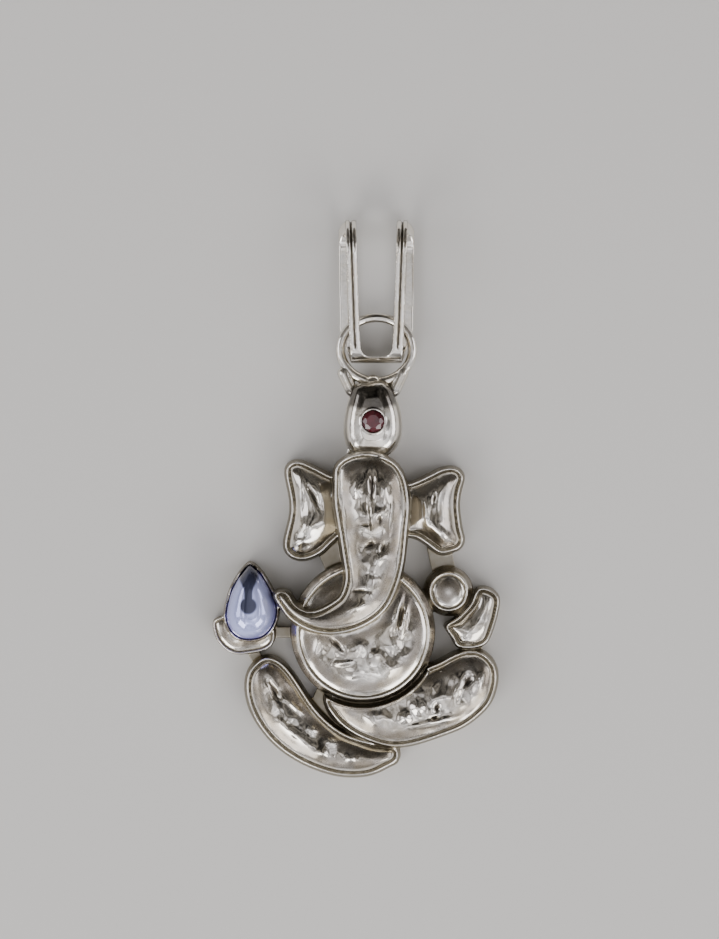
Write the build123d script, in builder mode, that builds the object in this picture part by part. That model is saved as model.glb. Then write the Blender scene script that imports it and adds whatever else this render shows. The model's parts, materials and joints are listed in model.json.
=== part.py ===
from build123d import *
from collections import namedtuple
from math import atan2, cos, degrees, radians, sin, tan
import os

# Ganesha pendant, lying on its back, in millimetres.
# X runs across the front to the viewer's right, Y runs up to the bail, Z comes out of the front.
# The origin is on the flat back, under the middle of the belly.

# Back plate
plate_thickness = 0.8
plate_margin = 0.06      # plate that shows outside the foot of each raised form

# Rims and fields of the raised forms
rim_width = 0.18
rim_round = 0.05         # slope on each side of a rim
field_drop = 0.18        # from a rim down to the groove inside it
groove_width = 0.08
wall_height = 0.7        # upper part of each wall, which leans out; below it the wall stands upright

# Belly
belly_width = 10.4
belly_wall_run = 0.55
belly_rim = 3.4
belly_rise = 0.65

# Head, with the trunk that curls across the belly
head_width = 10.4
head_height = 14.1
head_x = -1.68
head_y = 7.12
head_wall_run = 0.25
head_rim = 4.3
trunk_rise = 0.7
brow_width = 5.1
brow_height = 7.6
brow_rise = 1.18         # above the groove inside the head's rim
brow_across = 0.227      # share of the head's width from its middle
brow_up = 0.225          # share of the head's height from its middle

# Ears
left_ear_width = 4.4
left_ear_height = 7.6
right_ear_width = 4.8
right_ear_height = 6.6
ear_tuck = 0.34          # part of each ear that lies under the side of the head
head_left_share = 0.04   # sides of the head beside the ears, from its middle, of its width
head_right_share = 0.49
ear_up_share = 0.185     # middle of the ears above the middle of the head, of its height
ear_wall_run = 0.25
ear_rim = 2.2
ear_rise = 0.75

# Legs
left_leg_width = 12.0
left_leg_height = 9.2
left_leg_x = -3.2
left_leg_tuck = 3.0      # height of the left leg that lies beside the belly
left_leg_rim = 1.9
left_leg_rise = 0.7
right_leg_width = 13.5
right_leg_height = 7.4
right_leg_x = 3.8
right_leg_tuck = 3.6
right_leg_rim = 2.4
right_leg_rise = 0.65
leg_wall_run = 0.28

# Hand and disc on the right
right_hand_width = 4.0
right_hand_height = 4.6
right_hand_x = 8.72
right_hand_y = 1.12
right_hand_rim = 2.3
right_hand_rise = 0.65
disc_width = 2.9
disc_x = 6.84
disc_y = 3.24
disc_wall_run = 0.5
disc_rim = 2.2
disc_rise = 0.12
hand_wall_run = 0.2

# Modak and the cup that holds it
modak_width = 4.4
modak_height = 6.3
modak_depth = 3.4
modak_x = -8.92
modak_y = 2.4
modak_gap = 0.05
modak_collar = 0.14      # wall of the thin collar round the modak
modak_collar_top = 2.1
modak_collar_run = 0.06
cup_width = 4.7
cup_height = 3.2
cup_shift = 0.6          # middle of the cup outwards of the middle of the modak
cup_drop = 2.48          # and below it
cup_rim = 1.7
cup_rise = 0.2
cup_wall_run = 0.1

# Crown and its stone
crown_width = 4.4
crown_height = 6.0
crown_x = 0.8
crown_overlap = 0.15     # crown over the top of the head
crown_wall = 2.15
crown_wall_run = 0.1
crown_rise = 1.45
stone_width = 1.7
stone_gap = 0.04
stone_y_share = -0.03    # of the crown's height, from its middle
crown_share = 0.16       # of the stone's width: its height above the girdle
girdle_share = 0.02
pavilion_share = 0.43
main_tilt = 34
half_tilt = 42
star_tilt = 20
pavilion_tilt = 41
bezel_wall = 0.13
bezel_height = 0.04      # above the crown

# Ring on the crown
ring_width = 5.76        # between the middles of its wire
ring_height = 5.12
ring_wire = 0.76
ring_x = 1.08
ring_z = 1.5
ring_seat = 0.35         # the ring's wire in the top of the crown
solder_width = 1.5
solder_drop = 0.19       # middle of the solder below the middle of the ring's bottom wire
lug_width = 1.0          # two lugs, from the sides of the ring down to the crown's shoulders
lug_top_spread = 4.7     # between the middles of their tops, and of their feet
lug_foot_spread = 3.4
lug_reach = 0.7          # of each lug above and below the crown's top

# Bail
bail_length = 11.4
bail_strip = 0.75
bail_depth = 4.6
bail_foot_depth = 2.6
bail_foot_width = 4.1    # across the outside of the strip: foot, knee and arch
bail_back_knee = 5.9
bail_back_arch = 6.1
bail_front_knee = 4.4
bail_front_arch = 5.0
bail_knee = 2.7          # height of the knee above the foot
bail_leg = 0.85          # width of one leg
bail_bar = 0.5           # height of the bar left across its foot
bail_corner = 0.76       # radius of the slot's lower corners
bail_drop = 3.65         # foot of the bail below the middle of the ring's top wire

# Webs of the back plate between the forms
arm_width = 0.9
shoulder_width = 1.9
wrist_width = 1.6
hip_width = 2.8

Spot = namedtuple("Spot", "across up")
Form = namedtuple("Form", "middle width height outline ridge wall_run rim rise")
Step = namedtuple("Step", "spread lift")

# Outlines run clockwise along the crest of each rim. Each column is a share of the form's own size,
# measured from its middle: across of its width, up of its height.
left_ear_outline = [
    Spot(-0.43, 0.47), Spot(-0.28, 0.50), Spot(-0.12, 0.47), Spot(0.06, 0.42), Spot(0.26, 0.36),
    Spot(0.45, 0.30), Spot(0.50, 0.03), Spot(0.48, -0.23), Spot(0.32, -0.32), Spot(0.14, -0.42),
    Spot(-0.05, -0.48), Spot(-0.23, -0.50), Spot(-0.39, -0.47), Spot(-0.48, -0.41), Spot(-0.49, -0.32),
    Spot(-0.43, -0.17), Spot(-0.38, -0.02), Spot(-0.39, 0.14), Spot(-0.45, 0.31), Spot(-0.47, 0.41),
]
left_ear_ridge = [Spot(-0.15, 0.27), Spot(0.05, 0.05), Spot(0.0, -0.2), Spot(-0.22, -0.33)]

right_ear_outline = [
    Spot(-0.45, 0.29), Spot(-0.20, 0.35), Spot(0.00, 0.42), Spot(0.17, 0.48), Spot(0.32, 0.50),
    Spot(0.43, 0.48), Spot(0.50, 0.41), Spot(0.47, 0.30), Spot(0.43, 0.17), Spot(0.42, 0.04),
    Spot(0.44, -0.10), Spot(0.47, -0.24), Spot(0.50, -0.38), Spot(0.43, -0.45), Spot(0.32, -0.48),
    Spot(0.18, -0.50), Spot(0.03, -0.44), Spot(-0.12, -0.36), Spot(-0.30, -0.30), Spot(-0.47, -0.29),
    Spot(-0.50, 0.00),
]
right_ear_ridge = [Spot(0.22, 0.27), Spot(-0.02, 0.08), Spot(0.02, -0.1), Spot(0.22, -0.28)]

head_outline = [
    Spot(-0.015, 0.45), Spot(0.06, 0.485), Spot(0.145, 0.50), Spot(0.24, 0.50), Spot(0.325, 0.48),
    Spot(0.41, 0.44), Spot(0.46, 0.38), Spot(0.49, 0.30), Spot(0.50, 0.20), Spot(0.485, 0.075),
    Spot(0.47, -0.05), Spot(0.445, -0.16), Spot(0.40, -0.265), Spot(0.325, -0.365), Spot(0.215, -0.435),
    Spot(0.085, -0.48), Spot(-0.045, -0.50), Spot(-0.175, -0.495), Spot(-0.29, -0.465), Spot(-0.40, -0.41),
    Spot(-0.47, -0.34), Spot(-0.50, -0.285), Spot(-0.44, -0.28), Spot(-0.39, -0.325), Spot(-0.33, -0.37),
    Spot(-0.245, -0.39), Spot(-0.155, -0.375), Spot(-0.07, -0.34), Spot(-0.01, -0.305), Spot(0.025, -0.255),
    Spot(0.04, -0.195), Spot(0.025, -0.095), Spot(0.00, 0.03), Spot(-0.025, 0.14), Spot(-0.045, 0.255),
    Spot(-0.045, 0.355), Spot(-0.04, 0.415),
]
head_ridge = [
    Spot(0.22, 0.33), Spot(0.225, 0.15), Spot(0.23, -0.01), Spot(0.23, -0.18), Spot(0.185, -0.305),
    Spot(0.075, -0.385), Spot(-0.055, -0.43), Spot(-0.20, -0.44), Spot(-0.32, -0.41), Spot(-0.41, -0.35),
    Spot(-0.455, -0.31),
]

left_leg_outline = [
    Spot(-0.345, 0.50), Spot(-0.28, 0.455), Spot(-0.22, 0.37), Spot(-0.16, 0.255), Spot(-0.095, 0.125),
    Spot(-0.02, 0.005), Spot(0.06, -0.09), Spot(0.16, -0.17), Spot(0.275, -0.22), Spot(0.395, -0.255),
    Spot(0.485, -0.29), Spot(0.49, -0.35), Spot(0.425, -0.42), Spot(0.335, -0.475), Spot(0.215, -0.50),
    Spot(0.10, -0.49), Spot(-0.015, -0.45), Spot(-0.125, -0.39), Spot(-0.235, -0.305), Spot(-0.335, -0.195),
    Spot(-0.415, -0.065), Spot(-0.475, 0.085), Spot(-0.50, 0.24), Spot(-0.485, 0.38), Spot(-0.435, 0.465),
]
left_leg_ridge = [
    Spot(-0.395, 0.36), Spot(-0.34, 0.17), Spot(-0.255, -0.03), Spot(-0.135, -0.205), Spot(0.035, -0.315),
    Spot(0.215, -0.36), Spot(0.38, -0.35),
]

right_leg_outline = [
    Spot(-0.36, 0.14), Spot(-0.19, 0.20), Spot(-0.045, 0.25), Spot(0.08, 0.31), Spot(0.175, 0.375),
    Spot(0.27, 0.465), Spot(0.365, 0.50), Spot(0.445, 0.45), Spot(0.495, 0.315), Spot(0.495, 0.13),
    Spot(0.46, -0.04), Spot(0.39, -0.18), Spot(0.30, -0.295), Spot(0.20, -0.37), Spot(0.09, -0.44),
    Spot(-0.015, -0.49), Spot(-0.12, -0.50), Spot(-0.22, -0.455), Spot(-0.315, -0.38), Spot(-0.40, -0.275),
    Spot(-0.465, -0.14), Spot(-0.495, -0.02),
]
right_leg_ridge = [
    Spot(-0.36, -0.05), Spot(-0.24, -0.13), Spot(-0.06, -0.13), Spot(0.115, -0.02), Spot(0.275, 0.10),
    Spot(0.37, 0.24),
]

right_hand_outline = [
    Spot(0.18, 0.50), Spot(0.375, 0.465), Spot(0.495, 0.36), Spot(0.495, 0.17), Spot(0.435, -0.05),
    Spot(0.355, -0.26), Spot(0.255, -0.415), Spot(0.08, -0.485), Spot(-0.12, -0.50), Spot(-0.285, -0.455),
    Spot(-0.375, -0.31), Spot(-0.495, -0.14), Spot(-0.335, -0.05), Spot(-0.18, 0.06), Spot(-0.04, 0.19),
    Spot(0.06, 0.345),
]
right_hand_ridge = [Spot(0.275, 0.31), Spot(0.18, -0.05), Spot(-0.10, -0.25)]

crown_outline = [
    Spot(0.0, 0.50), Spot(0.30, 0.435), Spot(0.39, 0.29), Spot(0.465, 0.115), Spot(0.50, -0.085),
    Spot(0.465, -0.27), Spot(0.33, -0.42), Spot(0.0, -0.50), Spot(-0.38, -0.42), Spot(-0.48, -0.27),
    Spot(-0.50, -0.085), Spot(-0.465, 0.115), Spot(-0.405, 0.29), Spot(-0.33, 0.435),
]
crown_ridge = [Spot(0.0, 0.12), Spot(0.0, -0.12)]

modak_outline = [
    Spot(-0.01, 0.50), Spot(0.12, 0.435), Spot(0.28, 0.285), Spot(0.41, 0.115), Spot(0.49, -0.075),
    Spot(0.465, -0.23), Spot(0.355, -0.38), Spot(0.19, -0.47), Spot(-0.03, -0.50), Spot(-0.245, -0.475),
    Spot(-0.425, -0.36), Spot(-0.50, -0.19), Spot(-0.465, 0.0), Spot(-0.38, 0.185), Spot(-0.245, 0.35),
    Spot(-0.12, 0.46),
]
modak_ridge = [Spot(0.0, 0.15), Spot(0.0, -0.12)]

# A round form, turned by a formula instead of a table, with a ridge just long enough to have a direction
round_turns = [radians(turn) for turn in range(0, 360, 20)]
round_outline = [Spot(sin(turn) / 2, cos(turn) / 2) for turn in round_turns]
round_ridge = [Spot(0, 0.01), Spot(0, -0.01)]

cup_outline = [
    Spot(-0.47, 0.325), Spot(-0.335, 0.40), Spot(-0.07, 0.50), Spot(0.235, 0.475), Spot(0.435, 0.275),
    Spot(0.50, 0.0), Spot(0.465, -0.25), Spot(0.335, -0.40), Spot(0.10, -0.475), Spot(-0.135, -0.50),
    Spot(-0.315, -0.375), Spot(-0.435, -0.175), Spot(-0.50, 0.10),
]
cup_ridge = [Spot(-0.12, 0.0), Spot(0.12, 0.0)]

# A field swells in steps: spread is the share of the way from the ridge to the edge, lift of the rise.
# The lower its fullness, the sooner it rises from its edge.
field_fullness = 0.7
field_steps = [Step(spread, (1 - spread**2) ** field_fullness) for spread in (1.0, 0.94, 0.8, 0.58, 0.32)]

# The crown is steep at its edge and nearly flat on top: spread and lift as above.
crown_steps = [Step(1.0, 0.0), Step(0.97, 0.36), Step(0.88, 0.64), Step(0.70, 0.84), Step(0.45, 0.96)]

# The modak bulges above its seat: spread as above, lift as a share of its depth.
modak_steps = [
    Step(0.84, 0.0), Step(0.96, 0.12), Step(1.0, 0.28), Step(0.96, 0.52), Step(0.84, 0.73), Step(0.62, 0.89),
    Step(0.32, 0.985),
]


def placed(spots, middle, width, height):
    """Points of a table of shares about the middle of a form."""
    return [middle + Vector(spot.across * width, spot.up * height) for spot in spots]


def moved(points, step):
    """A clockwise outline moved outwards by a step."""
    shifted = []
    for before, here, after in zip(points[-1:] + points[:-1], points, points[1:] + points[:1]):
        along = (after - before).normalized()
        shifted.append(here + Vector(-along.Y, along.X) * step)
    return shifted


def nearest_on(ridge, point):
    """The closest spot to a point on a ridge of straight runs."""
    spots = []
    for start, end in zip(ridge, ridge[1:]):
        run = end - start
        share = min(1, max(0, (point - start).dot(run) / run.dot(run)))
        spots.append(start + run * share)
    return min(spots, key=lambda spot: (spot - point).length)


def drawn_in(points, ridge, spread):
    """An outline drawn in towards a ridge."""
    feet = [nearest_on(ridge, point) for point in points]
    return [foot + (point - foot) * spread for point, foot in zip(points, feet)]


def pace_of(points):
    """How far along its closed line each point comes, from 0 at the first to 1 back at the first."""
    runs = [(after - here).length for here, after in zip(points, points[1:] + points[:1])]
    return [sum(runs[:count]) / sum(runs) for count in range(len(runs) + 1)]


def closed_face(points, level, pace=None):
    """The face inside a smooth closed line through the points, at a level. A pace keeps faces in step."""
    with BuildSketch(Plane.XY.offset(level)) as flat:
        with BuildLine():
            add(Edge.make_spline(points, periodic=True, parameters=pace or pace_of(points)))
        make_face()
    return flat.sketch


def stack(levels, line):
    """Faces of one form, in step with its line: each level has its points and its height."""
    pace = pace_of(line)
    return [closed_face(points, level, pace) for points, level in levels]


def crest(form):
    """The line of a form's rim."""
    return placed(form.outline, form.middle, form.width, form.height)


def spine(form):
    """The ridge that a form's field swells up to."""
    return placed(form.ridge, form.middle, form.width, form.height)


def swell(edge, ridge, floor, rise):
    """A puffed field above a floor, sunk a little way into it."""
    loft(stack([(edge, floor - field_drop / 2), (edge, floor)], edge), ruled=True)
    field = [(drawn_in(edge, ridge, step.spread), floor + rise * step.lift) for step in field_steps]
    loft(stack(field, edge))


def raise_form(form):
    """A drafted wall with a thin rim round a sunk groove and a puffed field."""
    line = crest(form)
    floor = form.rim - field_drop
    wall = [
        (moved(line, form.wall_run + rim_round), plate_thickness / 2),
        (moved(line, form.wall_run), form.rim - wall_height),
        (moved(line, rim_width / 2), form.rim - rim_round),
        (moved(line, rim_width / 2 - rim_round), form.rim),
    ]
    loft(stack(wall, line), ruled=True)
    well = [
        (moved(line, -rim_width / 2), floor),
        (moved(line, rim_round - rim_width / 2), form.rim),
        (moved(line, rim_round - rim_width / 2), head_rim + rim_round),
    ]
    loft(stack(well, line), ruled=True, mode=Mode.SUBTRACT)
    swell(moved(line, -rim_width / 2 - groove_width), spine(form), floor, form.rise + field_drop)


def web(start, end, width):
    """A straight web of the back plate between two places."""
    run = end - start
    with Locations((start + end) * 0.5):
        SlotCenterToCenter(run.length, width, rotation=degrees(atan2(run.Y, run.X)))


# Places of the forms
belly_radius = belly_width / 2
belly_middle = Vector(0, 0)
head_middle = Vector(head_x, head_y)
head_left_side = head_x - head_left_share * head_width
head_right_side = head_x + head_right_share * head_width
ear_y = head_y + ear_up_share * head_height
left_ear_middle = Vector(head_left_side + ear_tuck - left_ear_width / 2, ear_y)
right_ear_middle = Vector(head_right_side - ear_tuck + right_ear_width / 2, ear_y)
left_leg_middle = Vector(left_leg_x, left_leg_tuck - belly_radius - left_leg_height / 2)
right_leg_middle = Vector(right_leg_x, right_leg_tuck - belly_radius - right_leg_height / 2)
right_hand_middle = Vector(right_hand_x, right_hand_y)
disc_middle = Vector(disc_x, disc_y)
modak_middle = Vector(modak_x, modak_y)
cup_middle = modak_middle - Vector(cup_shift, cup_drop)
crown_middle = Vector(crown_x, head_y + head_height / 2 - crown_overlap + crown_height / 2)
ring_middle = Vector(ring_x, crown_middle.Y + crown_height / 2 - ring_seat + (ring_wire + ring_height) / 2)
bail_foot_y = ring_middle.Y + ring_height / 2 - bail_drop

left_leg = Form(left_leg_middle, left_leg_width, left_leg_height, left_leg_outline, left_leg_ridge,
                leg_wall_run, left_leg_rim, left_leg_rise)
right_leg = Form(right_leg_middle, right_leg_width, right_leg_height, right_leg_outline, right_leg_ridge,
                 leg_wall_run, right_leg_rim, right_leg_rise)
left_ear = Form(left_ear_middle, left_ear_width, left_ear_height, left_ear_outline, left_ear_ridge,
                ear_wall_run, ear_rim, ear_rise)
right_ear = Form(right_ear_middle, right_ear_width, right_ear_height, right_ear_outline, right_ear_ridge,
                 ear_wall_run, ear_rim, ear_rise)
right_hand = Form(right_hand_middle, right_hand_width, right_hand_height, right_hand_outline,
                  right_hand_ridge, hand_wall_run, right_hand_rim, right_hand_rise)
cup = Form(cup_middle, cup_width, cup_height, cup_outline, cup_ridge, cup_wall_run, cup_rim, cup_rise)
disc = Form(disc_middle, disc_width, disc_width, round_outline, round_ridge, disc_wall_run, disc_rim,
            disc_rise)
belly = Form(belly_middle, belly_width, belly_width, round_outline, round_ridge, belly_wall_run, belly_rim,
             belly_rise)
head = Form(head_middle, head_width, head_height, head_outline, head_ridge, head_wall_run, head_rim,
            trunk_rise)
forms = (left_leg, right_leg, left_ear, right_ear, right_hand, cup, disc, belly, head)

modak_line = placed(modak_outline, modak_middle, modak_width, modak_height)
modak_spine = placed(modak_ridge, modak_middle, modak_width, modak_height)
modak_seat = plate_thickness + modak_gap
crown_line = placed(crown_outline, crown_middle, crown_width, crown_height)
crown_spine = placed(crown_ridge, crown_middle, crown_width, crown_height)
crown_top = crown_wall + crown_rise * crown_steps[-1].lift
stone_middle = crown_middle + Vector(0, stone_y_share * crown_height)
stone_radius = stone_width / 2
stone_pavilion = pavilion_share * stone_width
stone_crown = crown_share * stone_width


with BuildPart() as figure:
    # Back plate: every form's foot with its margin, joined by webs
    with BuildSketch() as back:
        for form in forms:
            add(closed_face(moved(crest(form), form.wall_run + plate_margin), 0))
        add(closed_face(moved(crown_line, crown_wall_run + plate_margin), 0))
        add(closed_face(moved(modak_line, modak_collar_run + plate_margin / 2), 0))
        web(cup_middle, belly_middle, arm_width)
        web(cup_middle, spine(left_leg)[0], arm_width)
        web(left_ear_middle, belly_middle, shoulder_width)
        web(right_ear_middle, disc_middle, shoulder_width)
        web(disc_middle, belly_middle, wrist_width)
        web(disc_middle, right_hand_middle, wrist_width)
        web(right_hand_middle, spine(right_leg)[-1], wrist_width)
        web(left_leg_middle, belly_middle, hip_width)
        web(crown_middle, head_middle, hip_width)
    extrude(amount=plate_thickness)

    # Forms from the lowest to the highest, each over the ones before it
    for form in forms:
        raise_form(form)

    # Brow: the head swells above the trunk's field
    brow_middle = head_middle + Vector(brow_across * head_width, brow_up * head_height)
    brow_faces = []
    for step in field_steps:
        with BuildSketch(Plane.XY.offset(head_rim - field_drop + brow_rise * step.lift)) as brow_face:
            with Locations(brow_middle):
                Ellipse(brow_width / 2 * step.spread, brow_height / 2 * step.spread)
        brow_faces.append(brow_face.sketch)
    loft(brow_faces)

    # Collar round the modak, with a pocket that clears it down to the plate
    collar = [
        (moved(modak_line, modak_collar_run), plate_thickness / 2),
        (modak_line, modak_collar_top),
    ]
    loft(stack(collar, modak_line), ruled=True)
    pocket = [
        (moved(modak_line, -modak_collar), plate_thickness),
        (moved(modak_line, -modak_collar), modak_collar_top + modak_collar),
    ]
    loft(stack(pocket, modak_line), ruled=True, mode=Mode.SUBTRACT)

    # Crown: a smooth dome with a bezel and a pocket for its stone
    crown_foot = moved(crown_line, crown_wall_run)
    loft(stack([(crown_foot, plate_thickness / 2), (crown_line, crown_wall)], crown_line), ruled=True)
    crown_swell = [
        (drawn_in(crown_line, crown_spine, step.spread), crown_wall + crown_rise * step.lift)
        for step in crown_steps
    ]
    loft(stack(crown_swell, crown_line))
    with Locations((stone_middle.X, stone_middle.Y, crown_top + bezel_height)):
        Cylinder(stone_radius + stone_gap + bezel_wall, bezel_height + stone_pavilion,
                 align=(Align.CENTER, Align.CENTER, Align.MAX))
        Cylinder(stone_radius + stone_gap, bezel_height + stone_pavilion + stone_gap,
                 align=(Align.CENTER, Align.CENTER, Align.MAX), mode=Mode.SUBTRACT)

    # Ring, soldered to the top of the crown
    with BuildLine(Plane(ring_middle + Vector(0, 0, ring_z))) as ring_path:
        EllipticalCenterArc((0, 0), ring_width / 2, ring_height / 2, 0, arc_size=360)
    with BuildSketch(Plane(ring_path.line @ 0, z_dir=ring_path.line % 0)) as ring_section:
        Circle(ring_wire / 2)
    sweep(ring_section.sketch, path=ring_path.line)
    with Locations((crown_x, ring_middle.Y - ring_height / 2 - solder_drop, ring_z)):
        Sphere(solder_width / 2, rotation=(0, 90, 0))
    crown_end = Vector(crown_x, crown_middle.Y + crown_height / 2, ring_z)
    for hand in (-1, 1):
        lug_top = crown_end + Vector(hand * lug_top_spread / 2, lug_reach)
        lug_foot = crown_end + Vector(hand * lug_foot_spread / 2, -lug_reach)
        lug_run = lug_top - lug_foot
        with Locations(Plane(lug_foot, z_dir=lug_run)):
            Cylinder(lug_width / 2, lug_run.length, align=(Align.CENTER, Align.CENTER, Align.MIN))
            Sphere(lug_width / 2)
        with Locations(Plane(lug_top, z_dir=lug_run)):
            Sphere(lug_width / 2)

with BuildPart() as bail:
    side = Plane.YZ.offset(ring_x)
    foot_radius = bail_foot_depth / 2
    arch_radius = bail_depth / 2
    foot_spot = (bail_foot_y + foot_radius, foot_radius)
    arch_spot = (bail_foot_y + bail_length - arch_radius, arch_radius)
    for inset, mode in ((0, Mode.ADD), (bail_strip, Mode.SUBTRACT)):
        with BuildSketch(side) as loop:
            with Locations(foot_spot):
                Circle(foot_radius - inset)
            with Locations(arch_spot):
                Circle(arch_radius - inset)
            make_hull()
        extrude(loop.sketch, amount=bail_back_arch, both=True, mode=mode)
    # Seen from the front, the back strip is wider than the front one and narrows at its knee to the foot
    foot_half = bail_foot_width / 2
    back_halves = (bail_back_knee / 2, bail_back_arch / 2)
    front_halves = (bail_front_knee / 2, bail_front_arch / 2)
    outlines = []
    slots = []
    for level, (knee_half, arch_half) in (
        (-bail_strip, back_halves),
        (bail_strip, back_halves),
        (bail_foot_depth - bail_strip, front_halves),
        (bail_depth + bail_strip, front_halves),
    ):
        base = Plane((ring_x, bail_foot_y, level))
        with BuildSketch(base) as outline:
            Polygon((-foot_half, 0), (foot_half, 0), (knee_half, bail_knee), (arch_half, bail_length),
                    (-arch_half, bail_length), (-knee_half, bail_knee), align=None)
        outlines.append(outline.sketch)
        with BuildSketch(base) as slot:
            Polygon((bail_leg - foot_half, bail_bar), (foot_half - bail_leg, bail_bar),
                    (knee_half - bail_leg, bail_knee), (arch_half - bail_leg, bail_length + bail_strip),
                    (bail_leg - arch_half, bail_length + bail_strip), (bail_leg - knee_half, bail_knee),
                    align=None)
            fillet(slot.vertices().group_by(Axis.Y)[0], bail_corner)
        slots.append(slot.sketch)
    loft(outlines, ruled=True, mode=Mode.INTERSECT)
    loft(slots, ruled=True, mode=Mode.SUBTRACT)


def facet(turn, tilt, reach, level):
    """One flat of the stone: it leans out by a tilt and passes at a reach from the axis at a level."""
    out = Vector(cos(radians(turn)), sin(radians(turn)))
    spot = stone_middle + out * reach + Vector(0, 0, level)
    face_out = out * sin(radians(tilt)) + Vector(0, 0, cos(radians(tilt)))
    split(bisect_by=Plane(spot, z_dir=face_out), keep=Keep.BOTTOM)


with BuildPart() as crown_stone:
    with Locations((stone_middle.X, stone_middle.Y, crown_top + stone_crown)):
        Cylinder(stone_radius, stone_crown + stone_pavilion, align=(Align.CENTER, Align.CENTER, Align.MAX))
    girdle = crown_top + girdle_share * stone_width
    table_reach = stone_radius - (crown_top + stone_crown - girdle) / tan(radians(main_tilt))
    for turn in range(0, 360, 45):
        facet(turn, main_tilt, stone_radius, girdle)
        facet(turn + 22.5, star_tilt, table_reach, crown_top + stone_crown)
        facet(turn, 180 - pavilion_tilt, stone_radius, crown_top)
        for side_turn in (-11.25, 11.25):
            facet(turn + side_turn, half_tilt, stone_radius * cos(radians(11.25)), girdle)

with BuildPart() as modak:
    modak_edge = moved(modak_line, -modak_collar - modak_gap)
    modak_swell = [
        (drawn_in(modak_edge, modak_spine, step.spread), modak_seat + modak_depth * step.lift)
        for step in modak_steps
    ]
    loft(stack(modak_swell, modak_edge))

os.makedirs("parts", exist_ok=True)
figure.part.label = "figure"
bail.part.label = "bail"
crown_stone.part.label = "crown_stone"
modak.part.label = "modak"
export_step(figure.part, "parts/figure.step")
export_step(bail.part, "parts/bail.step")
export_step(crown_stone.part, "parts/crown_stone.step")
export_step(modak.part, "parts/modak.step")
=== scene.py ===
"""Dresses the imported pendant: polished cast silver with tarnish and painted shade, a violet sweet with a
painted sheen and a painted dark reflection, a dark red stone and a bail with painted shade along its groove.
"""

import json
import math
from collections import namedtuple

import bmesh
import bpy
import numpy as np
from bpy.props import FloatProperty, FloatVectorProperty, IntProperty, PointerProperty
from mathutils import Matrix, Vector
from mathutils.kdtree import KDTree

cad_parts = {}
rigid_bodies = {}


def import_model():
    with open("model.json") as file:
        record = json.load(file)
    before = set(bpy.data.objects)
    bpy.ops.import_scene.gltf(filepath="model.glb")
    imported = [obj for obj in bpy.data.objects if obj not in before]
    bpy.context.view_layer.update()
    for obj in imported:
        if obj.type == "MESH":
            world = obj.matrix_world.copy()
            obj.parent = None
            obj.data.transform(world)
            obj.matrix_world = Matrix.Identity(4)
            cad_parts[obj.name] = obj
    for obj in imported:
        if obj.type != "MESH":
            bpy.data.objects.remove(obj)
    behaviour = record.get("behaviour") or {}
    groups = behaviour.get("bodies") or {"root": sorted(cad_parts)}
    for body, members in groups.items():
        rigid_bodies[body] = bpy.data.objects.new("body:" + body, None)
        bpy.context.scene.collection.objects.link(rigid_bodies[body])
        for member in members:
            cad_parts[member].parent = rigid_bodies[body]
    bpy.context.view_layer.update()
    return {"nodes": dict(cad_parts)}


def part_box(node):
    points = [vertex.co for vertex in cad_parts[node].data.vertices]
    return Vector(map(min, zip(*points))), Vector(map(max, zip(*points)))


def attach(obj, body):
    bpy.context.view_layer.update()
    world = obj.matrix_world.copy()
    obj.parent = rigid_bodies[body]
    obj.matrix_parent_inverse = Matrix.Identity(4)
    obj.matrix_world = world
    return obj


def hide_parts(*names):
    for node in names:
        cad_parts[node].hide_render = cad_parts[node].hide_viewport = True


bl_info = {
    "name": "Ganesha pendant",
    "version": (1, 0, 0),
    "blender": (4, 5, 0),
    "location": "View3D > Sidebar > Pendant",
    "description": "Hammered silver fields, glazed sweet, red stone and bail over the packed pendant",
    "category": "Object",
}

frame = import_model()

MM = 0.001

# Heights above the back, in millimetres: every raised field lies above the first, and the painted shade
# around the forms' feet on the plate between the second and the first
FIELD_FOOT = 1.05
MARGIN_FOOT = 0.7

# Where the crown begins, in millimetres up the figure, and how far below it the fields fade out
CROWN_FOOT = 14.1
CROWN_FADE = 0.5

# Levels of a vertex group that has to lift a field evenly
FINE = 400

# How far in from the foot of its rim, in millimetres, each treatment of a field begins and is whole
SMOOTHED = (0.2, 0.65)
SWOLLEN = (0.2, 1.7)
HAMMERED = (0.14, 0.5)
DEEPLY_HAMMERED = (0.6, 1.4)
CREASED = (0.15, 0.4)
POLISHED = (0.7, 1.3)
# How far out from it the painted shade on the plate around the forms begins to clear and is clear
MARGIN = (0.05, 0.35)

# The heights of the right leg, in millimetres, and the two sides of the belly, in degrees about its
# middle, between which a gap is sunk above the leg
LEG_LOW = 1.3
LEG_HIGH = 3.3
LEG_START = (-128, -118)
LEG_END = (-32, -24)

# The scuffed stretch of the bail's right back leg, in millimetres: its two ends and the line it lies beyond
SCUFF_START = (26.6, 27.4)
SCUFF_END = (30.0, 30.8)
SCUFF_SIDE = 3.2

# A place of one part of the figure and its reach, in millimetres, how strongly its field is hammered,
# how far it swells and how much lighter its silver is made
Patch = namedtuple("Patch", "x y reach_x reach_y strength swell polish")
PATCHES = [
    Patch(-4.0, 9.8, 2.3, 4.0, 0.30, 0.24, 0.55),
    Patch(5.3, 9.7, 2.3, 3.6, 0.22, 0.28, 0.3),
    Patch(6.84, 3.24, 1.6, 1.6, 0.10, 0.0, 0.0),
    Patch(8.9, 1.1, 2.2, 2.4, 0.8, 0.18, 0.7),
]
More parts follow.
